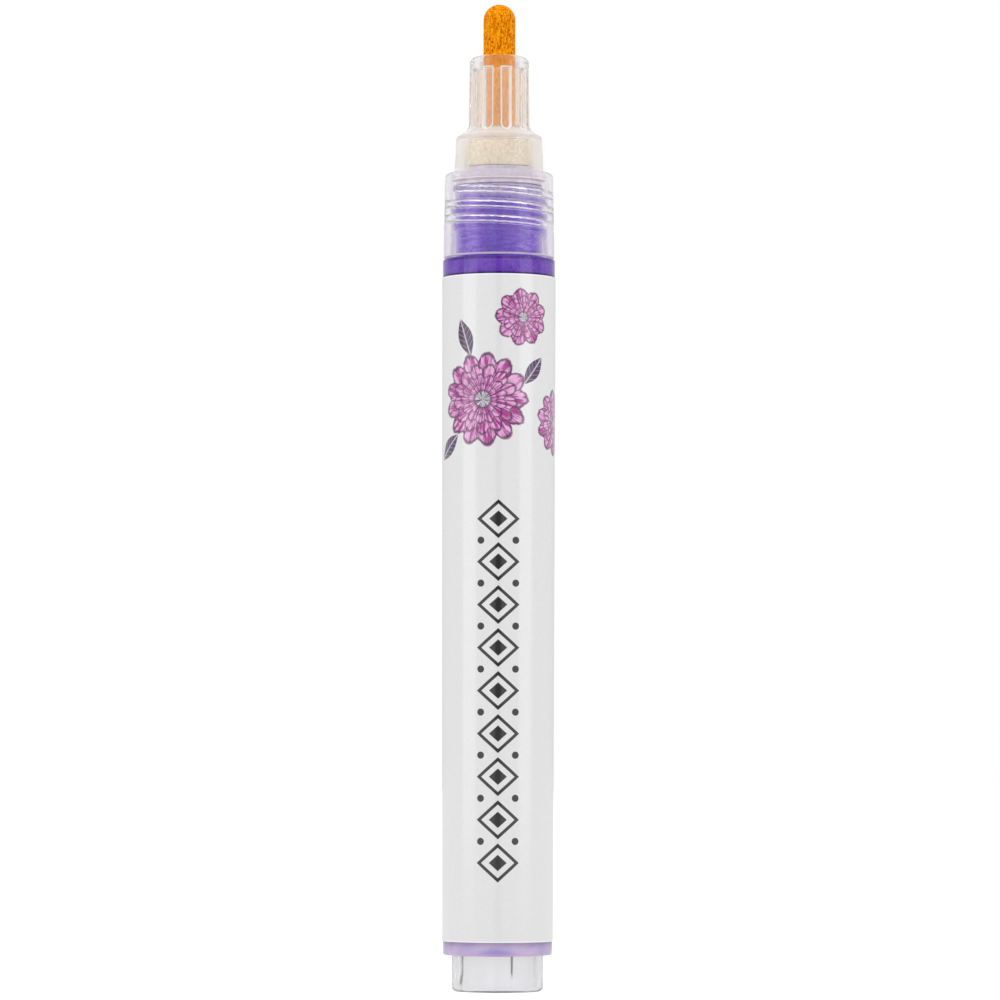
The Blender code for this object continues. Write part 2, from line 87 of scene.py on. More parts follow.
class Wire:
    """A socket of a node tree. Arithmetic on it adds Math nodes, so 1 - mask can be written as it is read."""

    def __init__(self, tree, socket=None):
        self.tree = tree
        self.socket = socket

    def node(self, kind, settings=None, inputs=None, output=0):
        """Adds a node: its settings first, then a value or a wire for each named or numbered socket."""
        made = self.tree.nodes.new("ShaderNode" + kind)
        for name, value in (settings or {}).items():
            if name == "stops":
                ramp = made.color_ramp.elements
                for index, (place, colour) in enumerate(value):
                    stop = ramp[index] if index < 2 else ramp.new(place)
                    stop.position, stop.color = place, colour
            else:
                setattr(made, name, value)
        for name, value in (inputs or {}).items():
            if isinstance(value, Wire):
                self.tree.links.new(value.socket, made.inputs[name])
            else:
                made.inputs[name].default_value = value
        return Wire(self.tree, made.outputs[output]) if made.outputs else made

    def math(self, operation, *values):
        """Adds a Math node on numbers and wires."""
        return self.node("Math", {"operation": operation}, dict(enumerate(values)))

    def __add__(self, other):
        return self.math("ADD", self, other)

    def __sub__(self, other):
        return self.math("SUBTRACT", self, other)

    def __rsub__(self, other):
        return self.math("SUBTRACT", other, self)

    def __mul__(self, other):
        return self.math("MULTIPLY", self, other)

    def __truediv__(self, other):
        return self.math("DIVIDE", self, other)

    def __abs__(self):
        return self.math("ABSOLUTE", self)

    __radd__ = __add__
    __rmul__ = __mul__

    def above(self, low, high):
        """0 below low, 1 above high, and smooth between."""
        inputs = {"Value": self, "From Min": low, "From Max": high}
        return self.node("MapRange", {"interpolation_type": "SMOOTHSTEP"}, inputs)

    def near(self, middle, reach):
        """1 at a middle value, and smoothly 0 beyond its reach."""
        return 1 - abs(self - middle).above(0, reach)

    def blend(self, first, second):
        """The colour between two colours that this factor picks."""
        return self.node("Mix", {"data_type": "RGBA"}, {0: self, 6: first, 7: second}, 2)


def tone(red, green, blue):
    """A colour from its sRGB levels of 0 to 255, as the linear values that a shader takes."""
    level = np.array((red, green, blue)) / 255
    linear = np.where(level < 0.04045, level / 12.92, ((level + 0.055) / 1.055) ** 2.4)
    return (*linear.tolist(), 1.0)


def set_camera():
    """A long lens on the pen's front, low, tilted up to the frame's middle and rolled a little."""
    lens = bpy.data.cameras.new("long_lens")
    lens.sensor_width = 36
    lens.lens = lens.sensor_width * CAMERA_DISTANCE / FRAME_SPAN
    lens.clip_start, lens.clip_end = 0.01, 100
    camera = bpy.data.objects.new("camera", lens)
    tilt = math.atan((FRAME_MIDDLE - CAMERA_HEIGHT) / CAMERA_DISTANCE)
    camera.location = np.array((FRAME_SHIFT, -CAMERA_DISTANCE, CAMERA_HEIGHT)) * MM
    camera.rotation_euler = (math.pi / 2 + tilt, 0, 0)
    camera.rotation_euler.rotate_axis("Z", CAMERA_ROLL)
    bpy.context.scene.collection.objects.link(camera)
    bpy.context.scene.camera = camera


def light_seen(wire, way):
    """The room's light in a direction, as gloss and clear plastic show it.

    Gloss shows a dark gap between the soft boxes, and the clear plastic shows greyer sides."""
    x, y, z = (wire.node("SeparateXYZ", None, {0: way}, part) for part in (0, 1, 2))
    from_front = abs(wire.math("ARCTAN2", x, 0 - y))
    gap = 1 - from_front.above(GAP_ANGLE * 0.5, GAP_ANGLE)
    side = from_front.above(*SIDE_ANGLES[:2]) * (1 - from_front.above(*SIDE_ANGLES[2:]))
    glossy, through, depth = (
        wire.node("LightPath", output=name)
        for name in ("Is Glossy Ray", "Is Transmission Ray", "Diffuse Depth")
    )
    gloss = GLOSS_LEVEL - gap * (GLOSS_LEVEL - GAP_LEVEL)
    extra = depth.above(0.4, 0.6) * INSIDE_LIGHT + z.above(*OVERHEAD_SLOPES) * OVERHEAD_LIGHT
    plastic = THROUGH_LEVEL - side * (THROUGH_LEVEL - SIDE_LEVEL) + extra
    return glossy * (1 - through) * gloss + through * plastic


def light_room():
    """White where the camera looks past the pen, and one plain level for what the room lights."""
    world = bpy.data.worlds.new("white_room")
    bpy.context.scene.world = world
    world.use_nodes = True
    world.node_tree.nodes.clear()
    room = Wire(world.node_tree)
    camera, glossy, through = (
        room.node("LightPath", output=f"Is {kind} Ray") for kind in ("Camera", "Glossy", "Transmission")
    )
    rest = 1 - room.math("MAXIMUM", camera, room.math("MAXIMUM", glossy, through))
    strength = camera + light_seen(room, room.node("TexCoord", output="Generated")) + rest * ROOM_LIGHT
    surface = room.node("Background", None, {"Color": strength})
    room.node("OutputWorld", None, {"Surface": surface})


def hang_soft_boxes():
    """Two upright panels of light in front, one at each side, tipped down towards the pen."""
    for index, (turn, distance) in enumerate(SOFT_BOXES):
        light = bpy.data.lights.new(f"soft_box_{index}", "AREA")
        light.shape = "RECTANGLE"
        light.size, light.size_y = (size * MM for size in SOFT_BOX_SIZE)
        light.energy = SOFT_BOX_WATTS
        box = bpy.data.objects.new(light.name, light)
        side = math.radians(turn)
        place = (distance * math.sin(side), -distance * math.cos(side), SOFT_BOX_HEIGHT)
        box.location = np.array(place) * MM
        box.rotation_euler = (SOFT_BOX_TILT, 0, side)
        bpy.context.scene.collection.objects.link(box)


def lay_floor():
    """A pale floor that the camera sees as white, a little darker in the pen's shadow."""
    mesh = bpy.data.meshes.new("floor")
    reach = FLOOR_REACH * MM
    corners = [(-reach, -reach, 0), (reach, -reach, 0), (reach, reach, 0), (-reach, reach, 0)]
    mesh.from_pydata(corners, [], [(0, 1, 2, 3)])
    floor = bpy.data.objects.new("floor", mesh)
    bpy.context.scene.collection.objects.link(floor)
    paint = bpy.data.materials.new("floor_paint")
    paint.use_nodes = True
    tree = paint.node_tree
    tree.nodes.clear()
    wire = Wire(tree)
    camera = wire.node("LightPath", output="Is Camera Ray")
    seen = light_seen(wire, wire.node("TexCoord", output="Object"))
    strength = camera * (FLOOR_LEVEL - FLOOR_SHADE) + seen * (1 - FLOOR_SHADE * ROOM_LIGHT)
    shade = wire.node("BsdfDiffuse", None, {"Color": (FLOOR_SHADE, FLOOR_SHADE, FLOOR_SHADE, 1)})
    glow = wire.node("Emission", None, {"Color": strength})
    both = wire.node("AddShader", None, {0: shade, 1: glow})
    wire.node("OutputMaterial", None, {"Surface": both})
    mesh.materials.append(paint)


set_camera()
light_room()
hang_soft_boxes()
lay_floor()
bpy.context.scene.view_settings.view_transform = "Standard"

# Barrel
# A clear moulded tube with a slight draft and a threaded neck. The ink that wets its bore is seen right out
# to the sides, because the wall bends the view inwards.
WELD = 0.0005
ON_WALL = 0.01
ROUND = 192
SHARP_ANGLE = math.radians(40)
PANE = (240, 240, 240)
THROUGH_MILK = 0.25
BARREL_WALL = 0.9
BARREL_EDGE = 0.25
FOOT_RADIUS = 6.8
SHOULDER = 91.1
SHOULDER_SLOPE = 0.5
NECK_RADIUS = 5.5
NECK_BORE = 4.6
NECK_EDGE = 0.1
BORE_STEP = 1.5
THREAD_PITCH = 1.83
THREAD_DEPTH = 0.6
THREAD_FOOT = 0.48
THREAD_CREST = 0.2
THREAD_START = math.radians(200)
THREAD_RUNOUT = 0.125
THREAD_TURNS = 2.6
THREAD_TOP = 99.75
THREAD_STEP = 0.06


def high_and_low(node):
    """A CAD node's outer radius, lowest height and highest height."""
    low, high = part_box(node)
    return high.x / MM, low.z / MM, high.z / MM


def run(start, end, step):
    """Points of a straight stretch about a step apart, without its last one."""
    start, end = np.array(start, float), np.array(end, float)
    count = max(1, round(float(np.hypot(*(end - start))) / step))
    return start + (end - start) * np.linspace(0, 1, count, endpoint=False)[:, None]


def corner(radius, height, reach, start, end, count=7):
    """Points of a rounded corner: an arc round a centre between two angles in degrees."""
    angle = np.radians(np.linspace(start, end, count))
    return np.column_stack((radius + reach * np.cos(angle), height + reach * np.sin(angle)))


def turned(profile, columns=ROUND, closed=True):
    """A profile of radius and height rows turned round the axis: x = r cos a, y = r sin a, z = height."""
    if closed:
        profile = np.vstack((profile, profile[:1]))
    angle = np.linspace(0, math.tau, columns + 1) if isinstance(columns, int) else columns
    radius, height = profile[:, :1], profile[:, 1:]
    return np.stack((radius * np.cos(angle), radius * np.sin(angle), height + 0 * angle), axis=-1)


def with_radius(grid, radius):
    """The same grid with each point moved in or out to a new radius at its own angle and height."""
    angle = np.arctan2(grid[..., 1], grid[..., 0])
    return np.stack((radius * np.cos(angle), radius * np.sin(angle), grid[..., 2]), axis=-1)


def eased(low, high, value):
    """0 below low, 1 above high, and smooth between."""
    share = np.clip((value - low) / (high - low), 0, 1)
    return share * share * (3 - 2 * share)


def thread_rise(grid, top):
    """How much of the left-hand thread stands at each point, from 0 to its depth.

    The ridge's middle falls by one pitch a turn from its top at THREAD_START. Its rise is full within the
    crest and gone past the foot, and it runs out at both ends."""
    begun = (np.arctan2(grid[..., 1], grid[..., 0]) - THREAD_START) / math.tau % 1
    passes = np.round((top - grid[..., 2]) / THREAD_PITCH - begun)
    turn = begun + np.clip(passes, 0, math.floor(THREAD_TURNS))
    away = np.abs(grid[..., 2] - (top - THREAD_PITCH * turn))
    ends = eased(0, THREAD_RUNOUT, np.minimum(turn, THREAD_TURNS - turn))
    return THREAD_DEPTH * eased(-THREAD_FOOT, -THREAD_CREST, -away) * ends


def surface(name, grid, flat=None):
    """A closed mesh with a quad between each four neighbours of the grid, its seams and poles welded."""
    rows, columns = grid.shape[:2]
    at = np.arange(rows * columns).reshape(rows, columns)
    quads = np.stack((at[:-1, :-1], at[:-1, 1:], at[1:, 1:], at[1:, :-1]), axis=-1).reshape(-1, 4)
    mesh = bpy.data.meshes.new(name)
    mesh.from_pydata(grid.reshape(-1, 3) * MM, [], quads.tolist())
    if flat is not None:
        layer = mesh.uv_layers.new(name="flat")
        layer.data.foreach_set("uv", flat.reshape(-1, 2)[quads.ravel()].ravel())
    shape = bmesh.new()
    shape.from_mesh(mesh)
    bmesh.ops.remove_doubles(shape, verts=shape.verts, dist=WELD * MM)
    bmesh.ops.recalc_face_normals(shape, faces=shape.faces)
    shape.to_mesh(mesh)
    shape.free()
    mesh.shade_smooth()
    mesh.set_sharp_from_angle(angle=SHARP_ANGLE)
    return mesh


def piece(name, grid, finish, body, node=None, flat=None):
    """Puts a new surface in the scene with its finish, on the body that carries it."""
    made = bpy.data.objects.new(name, surface(name, grid, flat))
    bpy.context.scene.collection.objects.link(made)
    made.data.materials.append(finish)
    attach(made, body)
    if node:
        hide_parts(node)
    return made


def new_finish(name, **uniform):
    """A material with one Principled shader, its uniform values set, and a wire to build its pattern from."""
    material = bpy.data.materials.new(name)
    material.use_nodes = True
    shader = material.node_tree.nodes["Principled BSDF"]
    for socket, value in uniform.items():
        shader.inputs[socket.replace("_", " ")].default_value = value
    return material, Wire(material.node_tree)


def feed(material, **wires):
    """Links wires to the sockets of a material's Principled shader."""
    shader = material.node_tree.nodes["Principled BSDF"]
    for socket, wire in wires.items():
        material.node_tree.links.new(wire.socket, shader.inputs[socket.replace("_", " ")])


def place_of(wire):
    """A point's place on the piece in millimetres, as a vector wire."""
    place = wire.node("TexCoord", output="Object")
    return wire.node("VectorMath", {"operation": "SCALE"}, {0: place, "Scale": 1 / MM})


def along(place, part):
    """One coordinate of a vector wire."""
    return place.node("SeparateXYZ", None, {0: place}, part)


def noise(place, scale, detail=2.0, roughness=0.5):
    """Cloudy noise from 0 to 1, with about scale lumps a millimetre."""
    inputs = {"Vector": place, "Scale": scale, "Detail": detail, "Roughness": roughness}
    return place.node("TexNoise", None, inputs)


def stretched(place, across, up):
    """The place scaled for a pattern that is drawn out round or along the pen."""
    return place.node("Mapping", None, {"Vector": place, "Scale": (across, across, up)})


def bump(height, strength, depth):
    """A normal from a height wire; depth is in millimetres."""
    inputs = {"Height": height, "Strength": strength, "Distance": depth * MM}
    return height.node("Bump", None, inputs)


def graded(height, stops):
    """A share that changes along the pen, from pairs of a height and the share there."""
    low, high = stops[0][0], stops[-1][0]
    steps = [((level - low) / (high - low), (share, share, share, 1)) for level, share in stops]
    return height.node("ValToRGB", {"stops": steps}, {0: (height - low) / (high - low)})


def clear_plastic(name, light, dark, blur, veil, milk=tone(240, 237, 240), frost=None, tint=None):
    """Clear plastic with faint flow lines of the moulding. Lamps shine through it.

    Blur is its roughness along the pen and veil its milky share. Frost is a function that gives the share of
    places that are milkier than the veil, and tint is one that changes the colour."""
    material, wire = new_finish(name, IOR=1.49, Transmission_Weight=1.0)
    tree = material.node_tree
    place = place_of(wire)
    height = along(place, 2)
    flow = noise(stretched(place, 0.5, 0.06), 1.0, 3.0)
    cloud = noise(place, 0.8, 4.0)
    colour = flow.above(0.35, 0.65).blend(light, dark)
    if tint:
        colour = tint(wire, colour)
    feed(
        material,
        Base_Color=colour,
        Roughness=graded(height, blur) * (0.6 + cloud * 0.8),
        Normal=bump(flow, 0.5, 0.004),
    )
    front = wire.node("BsdfDiffuse", None, {"Color": milk})
    back = wire.node("BsdfTranslucent", None, {"Color": milk})
    scatter = wire.node("MixShader", None, {0: THROUGH_MILK, 1: front, 2: back})
    share = graded(height, veil) * (0.85 + cloud * 0.3)
    if frost:
        share = wire.math("MAXIMUM", share, frost(wire))
    plastic = Wire(tree, tree.nodes["Principled BSDF"].outputs[0])
    mixed = wire.node("MixShader", None, {0: share, 1: plastic, 2: scatter})
    shadow = wire.node("LightPath", output="Is Shadow Ray")
    pane = wire.node("BsdfTransparent", None, {"Color": tone(*PANE)})
    lit = wire.node("MixShader", None, {0: shadow, 1: mixed, 2: pane})
    tree.links.new(lit.socket, tree.nodes["Material Output"].inputs["Surface"])
    return material


barrel_radius, barrel_foot, rim = high_and_low("barrel")
foot_bore, bore = FOOT_RADIUS - BARREL_WALL, barrel_radius - BARREL_WALL
barrel_profile = np.vstack((
    corner(FOOT_RADIUS - BARREL_EDGE, barrel_foot + BARREL_EDGE, BARREL_EDGE, -90, 0),
    corner(barrel_radius - BARREL_EDGE, SHOULDER - BARREL_EDGE, BARREL_EDGE, 0, 90),
    run((NECK_RADIUS, SHOULDER), (NECK_RADIUS, rim - NECK_EDGE), THREAD_STEP),
    corner(NECK_RADIUS - NECK_EDGE, rim - NECK_EDGE, NECK_EDGE, 0, 90, 3),
    run((NECK_BORE, rim), (NECK_BORE, SHOULDER - BARREL_WALL), BORE_STEP),
    [(NECK_BORE, SHOULDER - BARREL_WALL), (bore, SHOULDER - BARREL_WALL - SHOULDER_SLOPE)],
    [(foot_bore, barrel_foot)],
))
barrel_grid = turned(barrel_profile)
barrel_radii = np.hypot(barrel_grid[..., 0], barrel_grid[..., 1])
on_neck = (barrel_radii > NECK_RADIUS - ON_WALL) & (barrel_grid[..., 2] > SHOULDER + ON_WALL)
barrel_radii = barrel_radii + on_neck * thread_rise(barrel_grid, THREAD_TOP - THREAD_PITCH / 2)


def side_haze(low, high, stops):
    """The frost of a wall that turns milky towards its sides, where the view runs a long way through it."""
    def haze(wire):
        edge = wire.node("LayerWeight", None, {"Blend": 0.5}, 1)
        return edge.above(low, high) * graded(along(place_of(wire), 2), stops)
    return haze


barrel_finish = clear_plastic(
    "clear_barrel_plastic", tone(250, 248, 253), tone(245, 242, 250),
    blur=((SHOULDER, 0.02), (SHOULDER + 0.2, 0.12), (rim, 0.12)),
    veil=((SHOULDER, 0), (rim - 0.25, 0), (rim - 0.1, 0.45), (rim, 0.45)),
    frost=side_haze(0.3, 0.9, ((SHOULDER - 0.05, 0), (SHOULDER + 0.1, 0.4), (rim, 0.4))),
)
piece("clear_barrel", with_radius(barrel_grid, barrel_radii), barrel_finish, "barrel", "barrel")

# End plug
# A clear hollow plug pressed into the barrel's foot for good. The pen stands on its open stub, and four thin
# ribs stiffen it inside.
PLUG_WALL = 1.0
PLUG_EDGE = 0.6
PLUG_ROOF = 0.8
PLUG_CHAMFER = 0.3
PLUG_FILLET = 0.4
PLUG_MOUTH = (0.1, 0.2)
PLUG_STEP = 0.2
PLUG_COLUMNS = 480
RIB_COUNT = 4
RIB_ANGLE = math.radians(25)
RIB_WIDTH = 0.7
RIB_DEPTH = 0.32
RIB_SOFTNESS = 0.45
RIB_SETBACK = 0.8

plug_radius, _, plug_roof = high_and_low("end_plug")
plug_bore = plug_radius - PLUG_WALL
plug_profile = np.vstack((
    corner(plug_radius - PLUG_EDGE, PLUG_EDGE, PLUG_EDGE, -90, 0, 9),
    [(plug_radius, plug_roof - PLUG_CHAMFER), (plug_radius - PLUG_CHAMFER, plug_roof)],
    [(0, plug_roof), (0, plug_roof - PLUG_ROOF)],
    corner(plug_bore - PLUG_FILLET, plug_roof - PLUG_ROOF - PLUG_FILLET, PLUG_FILLET, 90, 0, 5),
    run((plug_bore, plug_roof - PLUG_ROOF - PLUG_FILLET), (plug_bore, PLUG_MOUTH[1]), PLUG_STEP),
    [(plug_bore + PLUG_MOUTH[0], 0)],
))
plug_grid = turned(plug_profile, PLUG_COLUMNS)
plug_angle = np.arctan2(plug_grid[..., 1], plug_grid[..., 0])
plug_radii = np.hypot(plug_grid[..., 0], plug_grid[..., 1])
# Round the bore, a rib stands up smoothly from nothing past its sides to its full depth in the middle. Along
# the pen it runs out towards the mouth.
from_rib = (plug_angle - RIB_ANGLE + math.pi / RIB_COUNT) % (math.tau / RIB_COUNT) - math.pi / RIB_COUNT
rib = eased(-RIB_WIDTH / 2 - RIB_SOFTNESS, RIB_SOFTNESS - RIB_WIDTH / 2, -np.abs(from_rib) * plug_bore)
rib = rib * eased(RIB_SETBACK - RIB_SOFTNESS, RIB_SETBACK + 4 * RIB_SOFTNESS, plug_grid[..., 2])
in_bore = np.abs(plug_radii - plug_bore) < ON_WALL
plug_radii = plug_radii - in_bore * rib * RIB_DEPTH
plug_finish = clear_plastic(
    "clear_plug_plastic", tone(249, 249, 250), tone(244, 244, 246), blur=((0, 0.12), (plug_roof, 0.12)),
    veil=((0, 0.08), (plug_roof, 0.08)),
)
piece("clear_end_plug", with_radius(plug_grid, plug_radii), plug_finish, "barrel", "end_plug")

# Mixing balls
# Two loose balls of polished steel that roll through the ink when the pen is shaken. The kept solids get
# their steel here.
def steel(name, scratches):
    """Bright steel whose fine scratches vary its shine."""
    material, wire = new_finish(name, Metallic=1.0)
    grain = noise(place_of(wire), scratches, 3.0, 0.6)
    colour = grain.blend(tone(196, 196, 200), tone(226, 226, 230))
    feed(material, Base_Color=colour, Roughness=0.12 + grain * 0.2)
    return material


def finish_node(node, material):
    """Gives a kept CAD node its material."""
    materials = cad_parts[node].data.materials
    materials.clear()
    materials.append(material)


ball_finish = steel("polished_ball_steel", 2.0)
finish_node("mixing_ball_1", ball_finish)
finish_node("mixing_ball_2", ball_finish)

# Ink
# Violet paint that wets the barrel's bore and fills its neck. It thins out to a pale lilac film round the
# plug, and near the rim to grey bubbles. A thin dark line above the label's top edge is painted shadow, and
# the deeper middle of the neck is painted shade.
INK_FILM = 0.15
INK_OVERLAP = 0.03
INK_CREEP = 0.5
INK_FOOT_GAP = 0.12
INK_PLUG_GAP = 0.03
INK_STEP = 1.0
LABEL_SHADOW_LINE = 88.95
PINK_LINE = 4.65
LINE_REACH = 0.2
POOL_MIDDLE, POOL_REACH = -0.2, 4.2
POOL_LEVELS = (4.7, 6.0)
NECK_SHADE_MIDDLE, NECK_SHADE_REACH = -0.3, 3.4
BUBBLE_LEVELS = (97.1, 99.9)
BUBBLE_LEAN = 0.04

ink_foot, ink_top = barrel_foot + INK_FOOT_GAP, rim - 0.1
ink_bore = NECK_BORE + INK_OVERLAP
ink_profile = np.vstack((
    [(plug_radius + INK_PLUG_GAP, ink_foot), (foot_bore + INK_OVERLAP, ink_foot)],
    [(bore + INK_CREEP, SHOULDER - 0.5), (bore - 0.2, SHOULDER - 0.2)],
    run((ink_bore, SHOULDER - 0.2), (ink_bore, ink_top), INK_STEP),
    [(ink_bore, ink_top), (ink_bore - INK_FILM, ink_top), (ink_bore - INK_FILM, SHOULDER - 0.4)],
    [(bore - 0.4, SHOULDER - 0.5), (foot_bore - INK_FILM - 0.2, plug_roof + 0.1)],
    [(plug_radius + INK_PLUG_GAP, plug_roof + 0.05)],
))
ink_finish, wire = new_finish("violet_ink", Roughness=0.6, Specular_IOR_Level=0.0)
place = place_of(wire)
height = along(place, 2)
cloud = noise(place, 0.35, 5.0)
fine = noise(place, 2.2, 4.0)
speck = noise(place, 3.2, 3.0, 0.7)
violet = cloud.above(0.36, 0.66).blend(tone(124, 84, 188), tone(102, 52, 174))
violet = speck.above(0.54, 0.66).blend(violet, tone(78, 34, 150))
# Painted shadow: a thin dark line just above the label's top edge.
violet = height.near(LABEL_SHADOW_LINE, LINE_REACH).blend(violet, tone(36, 8, 92))
# Painted shade: the neck's ink is deeper round its middle, front and back, and paler towards its sides.
neck_shade = along(place, 0).near(NECK_SHADE_MIDDLE, NECK_SHADE_REACH)
smear = noise(stretched(place, 0.5, 2.6), 1.0, 4.0, 0.65)
deep = smear.above(0.42, 0.58).blend(tone(160, 100, 242), tone(116, 44, 214))
deep = (neck_shade * 0.8).blend(deep, tone(94, 18, 202))
deep = speck.above(0.54, 0.66).blend(deep, tone(82, 18, 166))
violet = height.above(SHOULDER - 0.2, SHOULDER).blend(violet, deep)
grey = fine.above(0.4, 0.6).blend(tone(222, 212, 232), tone(174, 154, 216))
lilac = cloud.above(0.4, 0.6).blend(tone(212, 194, 224), tone(198, 182, 220))
pool = along(place, 0).near(POOL_MIDDLE, POOL_REACH) * (1 - height.above(*POOL_LEVELS))
lilac = (pool.above(0.1, 0.9) * 0.8).blend(lilac, tone(158, 148, 212))
lilac = height.near(PINK_LINE, LINE_REACH).blend(lilac, tone(226, 180, 206))
bubbles = height.above(*BUBBLE_LEVELS) + (fine - 0.5) * 0.9 + along(place, 0) * BUBBLE_LEAN
thin = 1 - height.above(plug_roof - 2.0, plug_roof)
colour = thin.blend(bubbles.above(0.35, 0.75).blend(violet, grey), lilac)
feed(ink_finish, Base_Color=colour)
piece("ink", turned(ink_profile), ink_finish, "barrel")

# Label
# A white glossy film wrapped once round the barrel, its end lapping over its start at the back. Blossoms,
# leaves and a column of lozenges are printed on it, each placed by millimetres from the front's middle line
# and from the pen's foot.
LABEL_FILM = 0.06
LABEL_GAP = 0.03
LABEL_LAP = math.radians(7)
LABEL_COLUMNS = 240
LAP_AIR = 0.005
LEAVES = (((4.6, 76.8), 4.6, 2.0, 0.9), ((-4.4, 80.9), 5.2, 2.2, 1.9), ((-7.4, 67.4), 5.0, 2.1, 0.7))
BLOSSOMS = (((9.4, 70.6), 4.2, 11, 1.1), ((3.1, 83.4), 3.6, 9, 0.4), ((-2.0, 73.2), 5.9, 13, 0.0))
PETAL_LAYERS = (1.0, 0.76, 0.54, 0.34)
COLUMN_ENDS = (13.5, 60.9)
LOZENGE_MIDDLE = 16.0
LOZENGE_SPACING = 2.65
LOZENGE_HALF_WIDTH = 2.7
LOZENGE_HALF_HEIGHT = 2.4
BEAD_ENDS = (14.0, 60.3)
BEAD_SIDE = 2.2
BEAD_RADIUS = 0.42

label_radius, label_foot, label_top = high_and_low("label")
draft = (barrel_radius - FOOT_RADIUS) / (SHOULDER - barrel_foot)
label_low = FOOT_RADIUS + draft * (label_foot - barrel_foot) + LABEL_GAP
label_high = label_radius - LABEL_FILM
# The film's thin section is carried round the barrel by a little more than a turn. Its radius grows from foot
# to top with the barrel's draft, and over the lap it steps out by the film's own thickness.
lap = np.linspace(0, math.tau + LABEL_LAP, LABEL_COLUMNS)
lap = np.concatenate((lap[:1], lap, lap[-1:]))
lifted = eased(math.tau - LABEL_LAP, math.tau - LABEL_LAP / 3, lap) * (LABEL_FILM + LAP_AIR)
film = np.full(lap.shape, LABEL_FILM)
film[[0, -1]] = 0
corner_height = np.array((label_foot, label_foot, label_top, label_top, label_foot))[:, None]
on_outside = np.array((0, 1, 1, 0, 0))[:, None]
low_or_high = np.where(corner_height == label_foot, label_low, label_high)
label_radii = low_or_high + lifted + on_outside * film
label_angle = lap + math.pi / 2
label_grid = np.stack((
    label_radii * np.cos(label_angle), label_radii * np.sin(label_angle), corner_height + 0 * lap,
), axis=-1)
label_flat = np.stack(((lap - math.pi) * label_high + 0 * corner_height, corner_height + 0 * lap), axis=-1)


def blossom(colour, across, up, centre, reach, petals, lean):
    """Draws a round head of layered petals over a colour.

    Each petal's outline is the reach times one bulge of a cosine round the centre, with dark rims and folds
    and ink streaks that run outwards."""
    x, y = across - centre[0], up - centre[1]
    angle = colour.math("ARCTAN2", y, x) + lean
    away = colour.math("SQRT", x * x + y * y)
    spread = {0: colour.math("COSINE", angle) * 11, 1: colour.math("SINE", angle) * 11, 2: away * 0.5}
    streak = noise(colour.node("CombineXYZ", None, spread), 1.0, 3.0, 0.6)
    for layer, share in enumerate(PETAL_LAYERS):
        bulge = abs(colour.math("COSINE", angle * (petals / 2) + layer * 0.8))
        edge = reach * share * (0.82 + bulge * 0.18 + (streak - 0.5) * 0.16)
        part = away / edge
        petal = streak.above(0.42, 0.60).blend(tone(166, 18, 136), tone(238, 178, 226))
        petal = part.above(0.82, 0.45).blend(petal, tone(98, 10, 96))
        folds = 1 - (bulge + (part - 0.9) * 0.6).above(0.02, 0.2)
        dark = colour.math("MAXIMUM", folds * 0.8, part.near(0.96, 0.07) * 0.85)
        petal = dark.blend(petal, tone(30, 8, 42))
        colour = (1 - part.above(0.98, 1.03)).blend(colour, petal)
    heart = 1 - (away / (reach * 0.17)).above(0.85, 1.05)
    return heart.blend(colour, streak.above(0.42, 0.55).blend(tone(40, 30, 52), tone(222, 216, 226)))


def leaf(colour, across, up, centre, length, width, lean):
    """Draws a leaf over a colour: half its width times a cosine along its length, with pale veins."""
    x, y = across - centre[0], up - centre[1]
    main = x * math.cos(lean) + y * math.sin(lean)
    side = abs(y * math.cos(lean) - x * math.sin(lean))
    edge = colour.math("COSINE", main * (math.pi / length)) * (width / 2)
    inside = (edge - side).above(0, 0.1) * (1 - abs(main).above(length / 2 - 0.1, length / 2))
    veins = abs(colour.math("SINE", main * 4.4 - side * 4.0)).near(0, 0.3)
    pale = colour.math("MAXIMUM", veins * 0.6, 1 - side.above(0.04, 0.12))
    return inside.blend(colour, pale.blend(tone(58, 20, 72), tone(206, 190, 214)))


def between(up, ends, soft):
    """1 between two heights, and smoothly 0 past them."""
    low, high = ends
    return up.above(low, low + soft) * (1 - up.above(high, high + soft))


label_finish, wire = new_finish(
    "white_label_film", Roughness=0.3, Coat_Weight=1.0, Coat_Roughness=0.1, Coat_IOR=1.65,
)
flat = wire.node("UVMap", {"uv_map": "flat"})
across, up = along(flat, 0), along(flat, 1)
fibre = noise(place_of(wire), 3.0, 4.0)
colour = fibre.above(0.3, 0.7).blend(tone(230, 230, 231), tone(233, 233, 233))
for centre, length, width, lean in LEAVES:
    colour = leaf(colour, across, up, centre, length, width, lean)
for centre, reach, petals, lean in BLOSSOMS:
    colour = blossom(colour, across, up, centre, reach, petals, lean)
step = wire.math("PINGPONG", up - LOZENGE_MIDDLE, LOZENGE_SPACING)
lozenge = abs(across) / LOZENGE_HALF_WIDTH + abs(step) / LOZENGE_HALF_HEIGHT
outline = (1 - lozenge.above(0.98, 1.02)) * lozenge.above(0.76, 0.80)
middle = 1 - lozenge.above(0.40, 0.44)
sideways, upwards = abs(across) - BEAD_SIDE, step - LOZENGE_SPACING
bead = wire.math("SQRT", wire.math("POWER", sideways, 2.0) + wire.math("POWER", upwards, 2.0))
beads = (1 - bead.above(BEAD_RADIUS, BEAD_RADIUS + 0.05)) * between(up, BEAD_ENDS, 0.1)
lozenges = wire.math("MAXIMUM", outline, middle) * between(up, COLUMN_ENDS, 0.05)
colour = wire.math("MAXIMUM", lozenges, beads).blend(colour, tone(16, 16, 18))
# Painted highlight: thin bright lines along the film's foot and top edges.
low_edge_highlight = 1 - up.above(label_foot + 0.1, label_foot + 0.2)
high_edge_highlight = up.above(label_top - 0.2, label_top - 0.1)
colour = wire.math("MAXIMUM", low_edge_highlight, high_edge_highlight).blend(colour, tone(252, 252, 252))
feed(label_finish, Base_Color=colour, Normal=bump(fibre, 0.15, 0.01))
piece("printed_label", label_grid, label_finish, "barrel", "label", label_flat)

